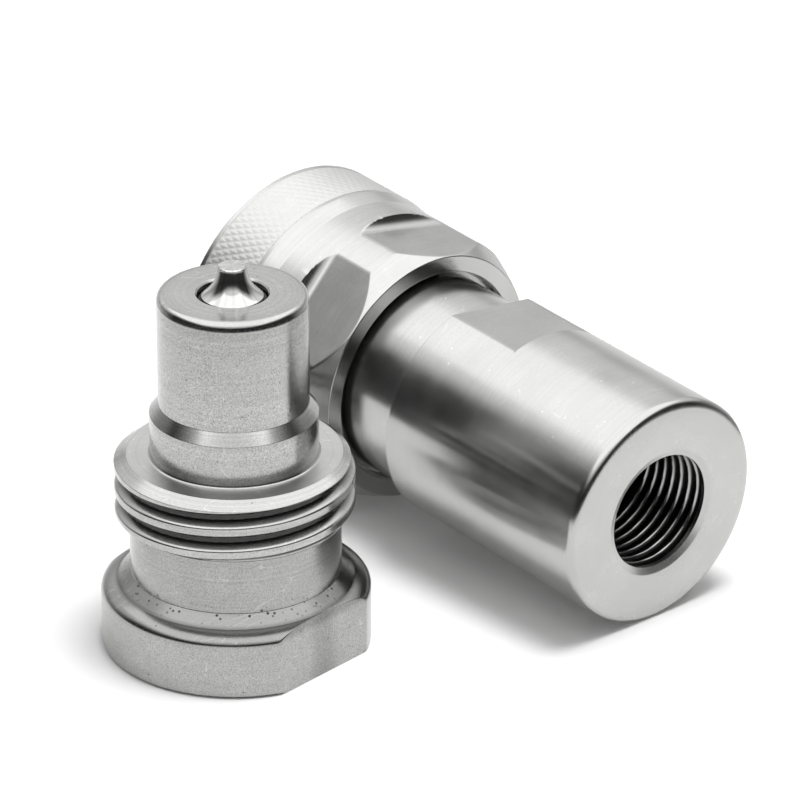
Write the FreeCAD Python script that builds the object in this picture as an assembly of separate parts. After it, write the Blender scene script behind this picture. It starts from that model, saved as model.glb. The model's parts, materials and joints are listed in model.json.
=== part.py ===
import FreeCAD, Part
import math
import os

# Screw-to-connect hydraulic quick coupler: a nipple standing on its base and a coupler lying behind it.
# Lengths are millimetres. The origin is the centre of the nipple's port, on the surface it stands on.

# Pipe-threaded ports, the same at both ends of the coupled line
port_radius = 10.5
port_depth = 18.0
flow_radius = 6.45
flow_wall = 2.25
drill_point_slope = 0.5

# Nipple, outside, from its base up
base_radius = 20.25
base_height = 9.3
base_edge_chamfer = 0.45
base_flat_width = 36.0
base_flat_heading = 6.75
base_bevel_rise = 1.05
base_bevel_bulge = 0.18
base_cone_run = 1.95
base_cone_rise = 1.6
neck_step = 0.75
neck_wall = 2.25
neck_length = 9.0
flange_bevel_rise = 1.15
stop_face_width = 3.55
shoulder_length = 6.7
shoulder_fillet = 0.5
pilot_step = 1.35
pilot_cone_length = 1.8
tip_radius = 11.25
tip_length = 17.5
tip_chamfer_width = 0.6
tip_chamfer_height = 0.75

# Coupling thread on the nipple's flange, right-handed, one start
thread_length = 8.9
thread_pitch = 3.75
thread_depth = 1.4
thread_crest = 1.3
thread_root = 0.8
thread_end_chamfer = 1.0
thread_heading = 178.8

# Poppet valve, one in each half
cavity_wall = 3.15
seat_width = 2.85
mouth_chamfer = 0.3
lip_thickness = 1.5
nub_radius = 2.0
nub_land = 0.45
nub_chamfer = 0.3
flare_height = 3.9
nose_gap = 0.6
nose_edge = 1.0
seal_height = 2.0
seal_band = 1.1
head_length = 3.0
head_gap = 0.45
seal_gap = 0.18
stem_radius = 2.4
stem_stop_radius = 3.45
stem_tail = 0.45
travel_spare = 0.15
spring_wire_radius = 0.6
spring_wire_sides = 8
nipple_spring_turns = 5
coupler_spring_turns = 3

# Valve guide and the clip that holds it
guide_ledge = 1.8
guide_thickness = 2.1
guide_hub_radius = 4.2
guide_hub_length = 3.0
guide_rim_width = 1.95
guide_window_angle = 78.0
guide_window_count = 3
clip_thickness = 1.2
clip_depth = 0.8
clip_width = 1.95
clip_opening = 50.0
clip_lead = 1.8

# Static seals where the two-piece bodies screw together
joint_seal_width = 2.25
joint_seal_depth = 1.4
joint_seal_offset = 2.1

# Coupler body, from its port towards its open end
rear_step = 1.8
rear_length = 42.3
rear_end_chamfer = 0.6
rear_flat_length = 14.5
rear_flat_roll = 7.5
front_radius = 16.5
front_wall = 2.4
collar_height = 1.4
collar_length = 7.5
collar_chamfer = 0.6
entry_chamfer = 2.25
bore_seal_offset = 13.5
bore_seal_section = 2.7
bore_seal_squeeze = 0.4
backup_thickness = 1.5

# Coupling sleeve, from its rear face towards its open end
sleeve_gap = 11.3
sleeve_rear_wall = 2.6
sleeve_hole_gap = 1.1
sleeve_hole_depth = 3.75
sleeve_cone_length = 3.4
sleeve_wall = 3.7
sleeve_hex_wall = 1.9
sleeve_hex_length = 11.0
sleeve_hex_sides = 6
sleeve_hex_fillet = 2.1
sleeve_hex_roll = 11.2
sleeve_band_length = 7.35
sleeve_stripe_length = 3.0
knurl_rise = 0.5
knurl_depth = 0.45
knurl_length = 11.4
knurl_edge = 0.7
sleeve_front_chamfer = 1.1
sleeve_entry_chamfer = 1.2
sleeve_overhang = 11.5
stop_ring_width = 1.35
stop_ring_thickness = 1.35
stop_ring_bite = 0.75
stop_ring_opening = 24.0

# Clearances
slide_clearance = 0.08
turn_clearance = 0.12
stem_clearance = 0.12
seat_clearance = 0.45
thread_clearance = 0.4
collar_gap = 0.5
ring_clearance = 0.05
end_clearance = 0.3
cut_margin = 1.0

# How the coupler lies behind the nipple, along X with its open end towards -X
halves_gap = 8.5
port_reach = 38.2

ORIGIN = FreeCAD.Vector(0, 0, 0)
UP = FreeCAD.Vector(0, 0, 1)
ACROSS = FreeCAD.Vector(0, 1, 0)

# Radii that follow the coupler's front half: the collar turns in the chamber that takes the thread
collar_radius = front_radius + collar_height
chamber_radius = collar_radius + collar_gap
thread_radius = chamber_radius - thread_clearance
neck_radius = thread_radius - thread_depth - neck_step
base_crease_radius = neck_radius + base_cone_run
rear_radius = front_radius + rear_step
rear_flat_width = 2 * front_radius
sleeve_hole_radius = front_radius + sleeve_hole_gap
sleeve_rear_radius = sleeve_hole_radius + sleeve_rear_wall
sleeve_band_radius = chamber_radius + sleeve_wall
sleeve_hex_width = 2 * (chamber_radius + sleeve_hex_wall)
knurl_radius = sleeve_band_radius + knurl_rise

# Radii that follow the nipple's tip
shoulder_radius = tip_radius + pilot_step
stop_face_radius = shoulder_radius + stop_face_width

# Heights along the nipple
crease_z = base_height + base_bevel_rise
joint_z = crease_z + base_cone_rise
flange_bottom = joint_z + neck_length
flange_top = flange_bottom + thread_length
stop_face_z = flange_top + flange_bevel_rise
shoulder_top = stop_face_z + shoulder_length
tip_bottom = shoulder_top + pilot_cone_length
tip_top = tip_bottom + tip_length
spigot_top = port_depth + flow_wall
nipple_guide_z = spigot_top + end_clearance + clip_lead + clip_thickness + guide_thickness

# Sizes shared by both valves
cavity_radius = tip_radius - cavity_wall
mouth_radius = cavity_radius - seat_width
nose_radius = mouth_radius - nose_gap
nub_height = flare_height + nub_land
poppet_travel = nub_height + travel_spare
guide_bore = cavity_radius + guide_ledge
head_radius = cavity_radius - head_gap
nipple_spigot_radius = neck_radius - neck_wall
coupler_spigot_radius = front_radius - front_wall

# Distances along the coupler from its port face
coupler_cavity_z = port_depth + flow_wall
coupler_spigot_end = coupler_cavity_z + end_clearance
coupler_guide_z = coupler_spigot_end + clip_lead + clip_thickness + guide_thickness
sleeve_rear = rear_length + sleeve_gap
hex_end = sleeve_rear + sleeve_hex_length
stripe_start = hex_end + sleeve_band_length
knurl_start = stripe_start + sleeve_stripe_length
sleeve_front = knurl_start + knurl_length + sleeve_front_chamfer
socket_front = sleeve_front - sleeve_overhang
collar_z = socket_front - collar_length
seat_face = socket_front - (tip_top - stop_face_z) - seat_clearance
sleeve_land_end = collar_z - end_clearance
sleeve_land_start = sleeve_rear + sleeve_hole_depth
stop_ring_top = sleeve_land_start - end_clearance
stop_ring_bottom = stop_ring_top - stop_ring_thickness


def revolve(start, *steps):
    """Solid of revolution about Z; a step is a (radius, height) corner, or two of them for an arc."""
    def place(corner):
        return FreeCAD.Vector(corner[0], 0, corner[1])
    edges = []
    here = place(start)
    for step in steps + (start,):
        if isinstance(step[0], tuple):
            via, end = place(step[0]), place(step[1])
            edges.append(Part.Arc(here, via, end).toShape())
        else:
            end = place(step)
            edges.append(Part.LineSegment(here, end).toShape())
        here = end
    return Part.Face(Part.Wire(edges)).revolve(ORIGIN, UP, 360)


def torus(ring_radius, section_radius, z):
    """Round ring about Z."""
    return Part.makeTorus(ring_radius, section_radius, FreeCAD.Vector(0, 0, z), UP)


def sector(inner, outer, bottom, top, angle, middle):
    """Part of a flat ring about Z, centred on a heading in degrees."""
    corners = [(inner, bottom), (outer, bottom), (outer, top), (inner, top), (inner, bottom)]
    face = Part.Face(Part.makePolygon([FreeCAD.Vector(r, 0, z) for r, z in corners]))
    piece = face.revolve(ORIGIN, UP, angle)
    piece.rotate(ORIGIN, UP, middle - angle / 2)
    return piece


def flat_cutters(width, reach, bottom, top, heading, count):
    """Blocks that leave flats across a width, evenly spaced round Z."""
    block = Part.makeBox(reach, 2 * reach, top - bottom, FreeCAD.Vector(width / 2, -reach, bottom))
    cutters = []
    for index in range(count):
        cutter = block.copy()
        cutter.rotate(ORIGIN, UP, heading + index * 360 / count)
        cutters.append(cutter)
    return cutters


def helix_sweep(profile, pitch, height, radius):
    """Solid swept by a closed profile along a right-handed helix that starts on +X at height zero."""
    spine = Part.Wire(Part.makeLongHelix(pitch, height, radius).Edges)
    return spine.makePipeShell([profile], True, True)


def port_outline(top):
    """Inside of a port, from the through bore down to the mouth, in the order of a revolved outline."""
    drill_rise = (port_radius - flow_radius) * drill_point_slope
    return [
        (flow_radius, top),
        (flow_radius, port_depth),
        (port_radius, port_depth - drill_rise),
    ]


def valve_bore(face_z, guide_z, end_z):
    """Inside of a valve, from its mouth back to the open end that the guide goes in by."""
    lip_z = face_z - lip_thickness
    clip_front = guide_z - guide_thickness
    clip_rear = clip_front - clip_thickness - ring_clearance
    return [
        (mouth_radius + mouth_chamfer, face_z),
        (mouth_radius, face_z - mouth_chamfer),
        (mouth_radius, lip_z),
        (cavity_radius, lip_z - (cavity_radius - mouth_radius)),
        (cavity_radius, guide_z),
        (guide_bore, guide_z),
        (guide_bore, clip_front),
        (guide_bore + clip_depth, clip_front),
        (guide_bore + clip_depth, clip_rear),
        (guide_bore, clip_rear),
        (guide_bore, end_z),
    ]


def nipple_adapter():
    """Base with its port, wrench flats and the spigot that the nipple body screws onto."""
    bevel_middle = (
        (base_radius + base_crease_radius) / 2 + base_bevel_bulge,
        (base_height + crease_z) / 2 + base_bevel_bulge,
    )
    groove_bottom = joint_z + joint_seal_offset
    groove_radius = nipple_spigot_radius - joint_seal_depth
    body = revolve(
        (port_radius, 0),
        (base_radius - base_edge_chamfer, 0),
        (base_radius, base_edge_chamfer),
        (base_radius, base_height),
        (bevel_middle, (base_crease_radius, crease_z)),
        (neck_radius, joint_z),
        (nipple_spigot_radius, joint_z),
        (nipple_spigot_radius, groove_bottom),
        (groove_radius, groove_bottom),
        (groove_radius, groove_bottom + joint_seal_width),
        (nipple_spigot_radius, groove_bottom + joint_seal_width),
        (nipple_spigot_radius, spigot_top),
        *port_outline(spigot_top),
    )
    flats = flat_cutters(base_flat_width, base_radius, -cut_margin, joint_z, base_flat_heading, 2)
    return body.cut(flats)


def thread_groove():
    """Helical groove that leaves the coupling thread standing on the flange."""
    mouth = thread_pitch - thread_crest
    lead_in = mouth / 2 + end_clearance
    flare = (mouth - thread_root) / 2 / thread_depth
    bottom = thread_radius - thread_depth
    outer = thread_radius + end_clearance
    half_mouth = mouth / 2 + flare * end_clearance
    profile = Part.makePolygon([
        FreeCAD.Vector(bottom, 0, -thread_root / 2),
        FreeCAD.Vector(outer, 0, -half_mouth),
        FreeCAD.Vector(outer, 0, half_mouth),
        FreeCAD.Vector(bottom, 0, thread_root / 2),
        FreeCAD.Vector(bottom, 0, -thread_root / 2),
    ])
    groove = helix_sweep(profile, thread_pitch, thread_length + 2 * lead_in, thread_radius)
    groove.translate(FreeCAD.Vector(0, 0, flange_bottom - lead_in))
    groove.rotate(ORIGIN, UP, thread_heading)
    return groove


def nipple_body():
    """Probe that enters the coupler: plain tip, pilot shoulder, threaded flange and neck."""
    bore = nipple_spigot_radius + slide_clearance
    fillet_hollow = shoulder_fillet * (1 - math.sqrt(0.5))
    fillet_middle = (shoulder_radius + fillet_hollow, stop_face_z + fillet_hollow)
    body = revolve(
        (bore, joint_z),
        (neck_radius, joint_z),
        (neck_radius, flange_bottom),
        (thread_radius - thread_depth, flange_bottom),
        (thread_radius, flange_bottom + thread_end_chamfer),
        (thread_radius, flange_top),
        (stop_face_radius, stop_face_z),
        (shoulder_radius + shoulder_fillet, stop_face_z),
        (fillet_middle, (shoulder_radius, stop_face_z + shoulder_fillet)),
        (shoulder_radius, shoulder_top),
        (tip_radius, tip_bottom),
        (tip_radius, tip_top - tip_chamfer_height),
        (tip_radius - tip_chamfer_width, tip_top),
        *valve_bore(tip_top, nipple_guide_z, spigot_top + end_clearance),
        (bore, spigot_top + end_clearance),
    )
    return body.cut(thread_groove())


def poppet(guide_depth):
    """Valve poppet with its mouth face at height zero: nub, flared nose, seating cone, head and stem."""
    flare_run = nose_radius - nub_radius
    flare_bend = (flare_run**2 + flare_height**2) / (2 * flare_run)
    half_turn = math.atan2(flare_height, flare_bend - flare_run) / 2
    flare_middle = (
        nub_radius + flare_bend * (1 - math.cos(half_turn)),
        flare_height - flare_bend * math.sin(half_turn),
    )
    groove_radius = nose_radius - seal_band
    cone_top = nose_edge + seal_height
    cone_radius = mouth_radius + cone_top - lip_thickness - head_gap
    head_top = cone_top + head_radius - cone_radius
    head_bottom = head_top + head_length
    stop_depth = guide_depth - poppet_travel
    tail = guide_depth + guide_thickness + guide_hub_length + stem_tail
    return revolve(
        (0, nub_height),
        (nub_radius - nub_chamfer, nub_height),
        (nub_radius, nub_height - nub_chamfer),
        (nub_radius, flare_height),
        (flare_middle, (nose_radius, 0)),
        (nose_radius, -nose_edge),
        (groove_radius, -nose_edge),
        (groove_radius, -cone_top),
        (cone_radius, -cone_top),
        (head_radius, -head_top),
        (head_radius, -head_bottom),
        (stem_stop_radius, -head_bottom),
        (stem_stop_radius, -stop_depth),
        (stem_radius, -stop_depth),
        (stem_radius, -tail),
        (0, -tail),
    )


def head_bottom_depth():
    """Depth of the face that the spring pushes on, below the valve's mouth face."""
    cone_top = nose_edge + seal_height
    cone_radius = mouth_radius + cone_top - lip_thickness - head_gap
    return cone_top + head_radius - cone_radius + head_length


def poppet_seal():
    """Moulded ring round the poppet's nose that closes on the seat."""
    inner = nose_radius - seal_band + ring_clearance
    top = nose_edge + ring_clearance
    bottom = nose_edge + seal_height - ring_clearance
    rim = mouth_radius - seal_gap
    return revolve(
        (inner, -top),
        (rim, -top),
        (rim, -lip_thickness),
        (rim + bottom - lip_thickness, -bottom),
        (inner, -bottom),
    )


def valve_spring(guide_depth, turns):
    """Compression spring between the poppet's head and the guide, its wire drawn as a polygon."""
    top = head_bottom_depth() + ring_clearance + spring_wire_radius
    bottom = guide_depth - ring_clearance - spring_wire_radius
    coil_radius = (stem_stop_radius + cavity_radius) / 2
    corners = []
    for index in range(spring_wire_sides + 1):
        angle = 2 * math.pi * (index + 0.5) / spring_wire_sides
        out = coil_radius + spring_wire_radius * math.cos(angle)
        corners.append(FreeCAD.Vector(out, 0, spring_wire_radius * math.sin(angle)))
    spring = helix_sweep(Part.makePolygon(corners), (bottom - top) / turns, bottom - top, coil_radius)
    spring.translate(FreeCAD.Vector(0, 0, -bottom))
    return spring


def valve_guide(guide_depth):
    """Spider that centres the poppet's stem: rim, spokes and hub, with windows for the oil."""
    rim = guide_bore - slide_clearance
    hole = stem_radius + stem_clearance
    bottom = -guide_depth - guide_thickness
    hub_bottom = bottom - guide_hub_length
    guide = revolve(
        (hole, -guide_depth),
        (rim, -guide_depth),
        (rim, bottom),
        (guide_hub_radius, bottom),
        (guide_hub_radius, hub_bottom),
        (hole, hub_bottom),
    )
    for index in range(guide_window_count):
        middle = index * 360 / guide_window_count
        window = sector(guide_hub_radius, rim - guide_rim_width, bottom - cut_margin,
                        cut_margin - guide_depth, guide_window_angle, middle)
        guide = guide.cut(window)
    return guide


def guide_clip(guide_depth):
    """Open spring clip in the groove behind the guide."""
    top = -guide_depth - guide_thickness - ring_clearance / 2
    outer = guide_bore + clip_depth - slide_clearance
    return sector(outer - clip_width, outer, top - clip_thickness, top, 360 - clip_opening, 180)


def joint_seal(spigot_radius, z):
    """Static square-cut seal between a spigot and the bore that it screws into."""
    inner = spigot_radius - joint_seal_depth + ring_clearance
    outer = spigot_radius + slide_clearance - ring_clearance
    half = joint_seal_width / 2 - ring_clearance
    return revolve((inner, z - half), (outer, z - half), (outer, z + half), (inner, z + half))


def port_adapter():
    """Rear half of the coupler body, with its port and wrench flats."""
    bore = coupler_spigot_radius + slide_clearance
    body = revolve(
        (port_radius, 0),
        (rear_radius - rear_end_chamfer, 0),
        (rear_radius, rear_end_chamfer),
        (rear_radius, rear_length),
        (bore, rear_length),
        (bore, coupler_cavity_z),
        *port_outline(coupler_cavity_z),
    )
    flats = flat_cutters(rear_flat_width, rear_radius, rear_length - rear_flat_length,
                         rear_length + cut_margin, rear_flat_roll, 2)
    return body.cut(flats)


def socket_body():
    """Front half of the coupler body: collar for the sleeve outside, probe bore and valve seat inside."""
    groove_top = rear_length - joint_seal_offset
    groove_radius = coupler_spigot_radius - joint_seal_depth
    stop_groove = front_radius - stop_ring_bite
    pilot = shoulder_radius + slide_clearance
    probe = tip_radius + slide_clearance
    pilot_end = socket_front - shoulder_length - seat_clearance
    probe_start = pilot_end - pilot_cone_length
    seal_front = socket_front - bore_seal_offset
    seal_rear = seal_front - bore_seal_section - backup_thickness - 3 * ring_clearance
    seal_radius = probe + bore_seal_section - bore_seal_squeeze
    valve = valve_bore(seat_face, coupler_guide_z, coupler_spigot_end)
    return revolve(
        (coupler_spigot_radius, coupler_spigot_end),
        (coupler_spigot_radius, groove_top - joint_seal_width),
        (groove_radius, groove_top - joint_seal_width),
        (groove_radius, groove_top),
        (coupler_spigot_radius, groove_top),
        (coupler_spigot_radius, rear_length),
        (front_radius, rear_length),
        (front_radius, stop_ring_bottom - ring_clearance),
        (stop_groove, stop_ring_bottom - ring_clearance),
        (stop_groove, stop_ring_top + ring_clearance),
        (front_radius, stop_ring_top + ring_clearance),
        (front_radius, collar_z),
        (collar_radius, collar_z),
        (collar_radius, socket_front - collar_chamfer),
        (collar_radius - collar_chamfer, socket_front),
        (pilot + entry_chamfer, socket_front),
        (pilot, socket_front - entry_chamfer),
        (pilot, pilot_end),
        (probe, probe_start),
        (probe, seal_front),
        (seal_radius, seal_front),
        (seal_radius, seal_rear),
        (probe, seal_rear),
        (probe, seat_face),
        *valve,
    )


def bore_seal():
    """O-ring in the socket that wipes the nipple's tip."""
    section = bore_seal_section / 2 - ring_clearance
    groove_radius = tip_radius + slide_clearance + bore_seal_section - bore_seal_squeeze
    z = socket_front - bore_seal_offset - ring_clearance - section
    return torus(groove_radius - ring_clearance - section, section, z)


def backup_ring():
    """Flat ring behind the O-ring that stops it creeping under pressure."""
    probe = tip_radius + slide_clearance
    outer = probe + bore_seal_section - bore_seal_squeeze - ring_clearance
    top = socket_front - bore_seal_offset - bore_seal_section - 2 * ring_clearance
    return revolve(
        (probe + slide_clearance, top),
        (outer, top),
        (outer, top - backup_thickness),
        (probe + slide_clearance, top - backup_thickness),
    )


def hex_cutters():
    """Milled flats of the sleeve's hexagon, each with the cutter's rounded run-out."""
    reach = 2 * sleeve_band_radius
    flat = sleeve_hex_width / 2
    start = sleeve_rear - cut_margin
    lift = sleeve_hex_fillet * (1 - math.cos(math.pi / 4))
    run = sleeve_hex_fillet * math.sin(math.pi / 4)
    corners = {
        "rear": FreeCAD.Vector(flat, -reach, start),
        "front": FreeCAD.Vector(flat, -reach, hex_end),
        "via": FreeCAD.Vector(flat + lift, -reach, hex_end + run),
        "top": FreeCAD.Vector(flat + sleeve_hex_fillet, -reach, hex_end + sleeve_hex_fillet),
        "far_top": FreeCAD.Vector(reach, -reach, hex_end + sleeve_hex_fillet),
        "far_rear": FreeCAD.Vector(reach, -reach, start),
    }
    edges = [
        Part.LineSegment(corners["rear"], corners["front"]).toShape(),
        Part.Arc(corners["front"], corners["via"], corners["top"]).toShape(),
        Part.LineSegment(corners["top"], corners["far_top"]).toShape(),
        Part.LineSegment(corners["far_top"], corners["far_rear"]).toShape(),
        Part.LineSegment(corners["far_rear"], corners["rear"]).toShape(),
    ]
    block = Part.Face(Part.Wire(edges)).extrude(FreeCAD.Vector(0, 2 * reach, 0))
    cutters = []
    for index in range(sleeve_hex_sides):
        cutter = block.copy()
        cutter.rotate(ORIGIN, UP, sleeve_hex_roll + index * 360 / sleeve_hex_sides)
        cutters.append(cutter)
    return cutters


def coupling_sleeve():
    """Turning sleeve: hexagon, band and knurled grip outside, bearing land and thread chamber inside."""
    land = front_radius + turn_clearance
    knurl_root = knurl_radius - knurl_depth
    knurl_end = knurl_start + knurl_length
    sleeve = revolve(
        (sleeve_hole_radius, sleeve_rear),
        (sleeve_rear_radius, sleeve_rear),
        (sleeve_band_radius, sleeve_rear + sleeve_cone_length),
        (sleeve_band_radius, stripe_start),
        (knurl_radius, knurl_start),
        (knurl_radius, knurl_start + knurl_edge),
        (knurl_root, knurl_start + knurl_edge + knurl_depth),
        (knurl_root, knurl_end - knurl_edge - knurl_depth),
        (knurl_radius, knurl_end - knurl_edge),
        (knurl_radius, knurl_end),
        (knurl_radius - sleeve_front_chamfer, sleeve_front),
        (chamber_radius + sleeve_entry_chamfer, sleeve_front),
        (chamber_radius, sleeve_front - sleeve_entry_chamfer),
        (chamber_radius, sleeve_land_end),
        (land, sleeve_land_end),
        (land, sleeve_land_start),
        (sleeve_hole_radius, sleeve_land_start),
    )
    return sleeve.cut(hex_cutters())


def sleeve_stop_ring():
    """Open snap ring in the body's groove that keeps the sleeve from sliding back."""
    inner = front_radius - stop_ring_bite + ring_clearance
    return sector(inner, inner + stop_ring_width, stop_ring_bottom, stop_ring_top,
                  360 - stop_ring_opening, 180)


def coupler_placement():
    """Lays the coupler on the edge of its rear end and on its knurled grip, behind the nipple."""
    lean = math.atan2(knurl_radius - rear_radius, knurl_start - rear_end_chamfer)
    height = rear_radius * math.cos(lean) - rear_end_chamfer * math.sin(lean)
    offset = base_radius + knurl_radius + halves_gap
    laid = FreeCAD.Rotation(ACROSS, math.degrees(lean) - 90)
    return FreeCAD.Placement(FreeCAD.Vector(port_reach, offset, height), laid)


def raised(shape, z):
    """The shape moved up the axis."""
    moved = shape.copy()
    moved.translate(FreeCAD.Vector(0, 0, z))
    return moved


def valve_pieces(prefix, face_z, guide_z, turns):
    """The loose pieces of one valve, set in place along the half's own axis."""
    guide_depth = face_z - guide_z
    return {
        prefix + "_poppet": raised(poppet(guide_depth), face_z),
        prefix + "_poppet_seal": raised(poppet_seal(), face_z),
        prefix + "_spring": raised(valve_spring(guide_depth, turns), face_z),
        prefix + "_valve_guide": raised(valve_guide(guide_depth), face_z),
        prefix + "_guide_clip": raised(guide_clip(guide_depth), face_z),
    }


def nipple_pieces():
    """Every piece of the standing half."""
    seal_z = joint_z + joint_seal_offset + joint_seal_width / 2
    pieces = {
        "nipple_adapter": nipple_adapter(),
        "nipple_body": nipple_body(),
        "nipple_joint_seal": joint_seal(nipple_spigot_radius, seal_z),
    }
    pieces.update(valve_pieces("nipple", tip_top, nipple_guide_z, nipple_spring_turns))
    return pieces


def coupler_pieces():
    """Every piece of the lying half, moved from its own axis to where it lies."""
    seal_z = rear_length - joint_seal_offset - joint_seal_width / 2
    pieces = {
        "port_adapter": port_adapter(),
        "socket_body": socket_body(),
        "coupler_joint_seal": joint_seal(coupler_spigot_radius, seal_z),
        "bore_seal": bore_seal(),
        "backup_ring": backup_ring(),
        "coupling_sleeve": coupling_sleeve(),
        "sleeve_stop_ring": sleeve_stop_ring(),
    }
    pieces.update(valve_pieces("coupler", seat_face, coupler_guide_z, coupler_spring_turns))
    place = coupler_placement()
    for shape in pieces.values():
        shape.Placement = place.multiply(shape.Placement)
    return pieces


def main():
    os.makedirs("parts", exist_ok=True)
    pieces = nipple_pieces()
    pieces.update(coupler_pieces())
    for name, shape in pieces.items():
        shape.exportStep("parts/" + name + ".step")


main()
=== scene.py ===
import json
import math
from collections import namedtuple

import bmesh
import bpy
import numpy as np
from mathutils import Matrix, Vector


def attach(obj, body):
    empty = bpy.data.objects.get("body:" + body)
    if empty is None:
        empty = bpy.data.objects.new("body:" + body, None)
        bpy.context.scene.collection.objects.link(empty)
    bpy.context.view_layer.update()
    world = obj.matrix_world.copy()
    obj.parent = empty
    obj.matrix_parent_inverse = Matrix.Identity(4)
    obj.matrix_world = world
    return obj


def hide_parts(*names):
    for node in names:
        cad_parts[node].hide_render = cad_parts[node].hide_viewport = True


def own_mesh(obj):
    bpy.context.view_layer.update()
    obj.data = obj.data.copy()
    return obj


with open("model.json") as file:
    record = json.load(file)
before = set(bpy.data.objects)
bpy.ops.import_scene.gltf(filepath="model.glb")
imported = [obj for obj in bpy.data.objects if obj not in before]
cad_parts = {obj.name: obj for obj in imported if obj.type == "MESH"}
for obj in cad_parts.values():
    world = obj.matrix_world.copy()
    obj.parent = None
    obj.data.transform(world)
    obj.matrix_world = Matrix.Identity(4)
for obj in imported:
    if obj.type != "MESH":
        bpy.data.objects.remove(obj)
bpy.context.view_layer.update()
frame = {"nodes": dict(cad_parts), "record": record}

# The coupler's sizes are in millimetres and its angles in degrees; the studio's sizes are in metres.
MM = 0.001
mounts = {mount["name"]: mount for mount in frame["record"]["mounts"]}

# Edges of the turned meshes
FINE_EDGE = 0.1
SOFT_EDGE = 0.25
EDGE_STEPS = 5
EDGE_SHARE = 0.42
SUPPORT = 0.08
SUPPORT_SHARE = 0.07
CURVE_STEPS = 14
FLAT_BLEND = 0.12
CREST_BLEND = 0.35
SHARP_ANGLE = 32

# Columns round the turned meshes
AROUND_FLATS = 480
AROUND_REAR = 400
AROUND_PROBE = 320
AROUND_INNER_THREAD = 300
AROUND_KNURL = 1080
AROUND_PLAIN = 200

# Spacing of the rows where a form needs more of them than its outline has
SHOULDER_ROW = 0.12
HIDDEN_PORT_ROW = 0.3
FLANGE_ROW = 0.08
PORT_ROW = 0.1
CONE_ROW = 0.14
RUN_OUT_ROW = 0.1
PLAIN_BAND_ROW = 2.5
INNER_THREAD_ROW = 0.12
KNURL_ROWS_PER_PITCH = 7

# Ports, the same at both ends
port_radius = mounts["nipple_port"]["dims"]["r_mm"]
port_wall = mounts["nipple_port"]["dims"]["length_mm"]
port_floor = 18.0
flow_radius = 6.45
spigot_top = 20.25

# Nipple: base, neck, threaded flange, pilot shoulder and plain tip
base_radius = 20.25
base_chamfer = 0.45
base_flat = 18.0
base_flat_heading = 6.75
bevel_start = 8.5
bevel_control = 9.75
crease = (17.8, 10.35)
neck_radius = 15.85
joint_z = 11.95
nipple_spigot = 13.6
nipple_seal_groove = (12.2, 14.05, 16.3)
flange_bottom = 20.95
flange_top = 29.85
thread_radius = 18.0
thread_pitch = 3.75
thread_depth = 1.4
thread_root = 0.8
thread_mouth = 2.45
thread_chamfer = 1.0
groove_start = 19.425
groove_heading = 178.8
stop_face = (16.15, 31.0)
shoulder_fillet = 0.5
shoulder_radius = 12.6
shoulder_top = 37.7
tip_radius = 11.25
tip_bottom = 39.5
tip_top = 57.0
tip_round = 1.3

# Valve bore and poppet, the same in both halves, measured back from the mouth face
mouth_radius = 5.25
mouth_chamfer = 0.3
lip = 1.5
cavity_radius = 8.1
guide_bore = 9.9
guide_z = 25.65
clip_groove = (10.7, 22.3, 23.55)
bore_end = 20.55
slide = 0.08
nub_radius = 2.12
nub_height = 4.35
nub_chamfer = 0.2
flare_height = 3.9
flare_middle = (2.85, 1.5)
flare_drop = 0.45
nose_radius = 4.65
nose_edge = 1.0
seal_groove = 3.55
cone_depth = 3.0
cone_radius = 6.3
head_depth = 4.35
head_radius = 7.65
head_bottom = 7.35
stem_stop = 3.45
stem_radius = 2.4
stem_end = 20.1
stop_gap = 0.03
poppet_travel = 4.5
spring_wire = 0.6
spring_radius = 5.775
spring_gap = 0.05
nipple_turns = 5
coupler_turns = 3

# Coupler: port adapter, socket and turning sleeve, measured from the port face
rear_radius = 18.3
rear_round = 1.3
rear_length = 42.3
rear_flat = 16.5
rear_flat_start = 27.8
rear_flat_roll = 7.5
front_radius = 16.5
socket_spigot = 14.1
socket_seal_groove = (12.7, 37.95, 40.2)
stop_groove = (15.75, 55.65, 57.1)
collar_radius = 17.9
collar_start = 68.45
collar_chamfer = 0.6
socket_front = 75.95
entry_chamfer = 2.25
pilot_radius = 12.68
pilot_end = 68.8
probe_radius = 11.33
probe_start = 67.0
bore_seal_groove = (13.63, 58.1, 62.45)
seat_face = 49.5
sleeve_rear = 53.6
sleeve_hole = 17.6
sleeve_rear_radius = 20.2
sleeve_cone_end = 57.0
sleeve_land = 16.62
sleeve_land_start = 57.35
sleeve_land_end = 68.15
sleeve_band = 22.1
hex_flat = 20.3
hex_end = 64.6
hex_fillet = 2.1
hex_roll = 11.2
stripe_start = 71.95
knurl_start = 74.95
knurl_end = 86.35
knurl_radius = 22.6
knurl_depth = 0.45
knurl_edge = 0.7
sleeve_front = 87.45
sleeve_front_chamfer = 1.1
chamber_radius = 18.4
chamber_entry = 1.2

# Fine forms that are left to the visual model
pipe_pitch = 1.814
pipe_depth = 1.25
pipe_start = 1.2
pipe_end = 14.6
pipe_runout = 0.6
countersink_slope = 2.5
grip_pitch = 1.15
grip_angle = 30.0
grip_depth = 0.06
grip_groove = 0.8
grip_faint = 0.75
grip_end_gap = 0.1
grip_runout = 0.3
grip_backing = 0.2
inner_thread_start = 77.0
inner_thread_end = 86.2
inner_thread_depth = 1.35
inner_thread_runout = 0.9
inner_thread_backing = 0.3

# How the photograph was taken
view_heading = 49.15
view_tilt = 26.1
view_distance = 1004.4
view_target = (-44.715, 71.145, 0.0)
view_focal_pixels = 6186.0
view_width_pixels = 800
view_turn = math.radians(view_heading)
image_right = Vector((math.cos(view_turn), math.sin(view_turn), 0))
image_away = Vector((-image_right.y, image_right.x, 0))


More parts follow.
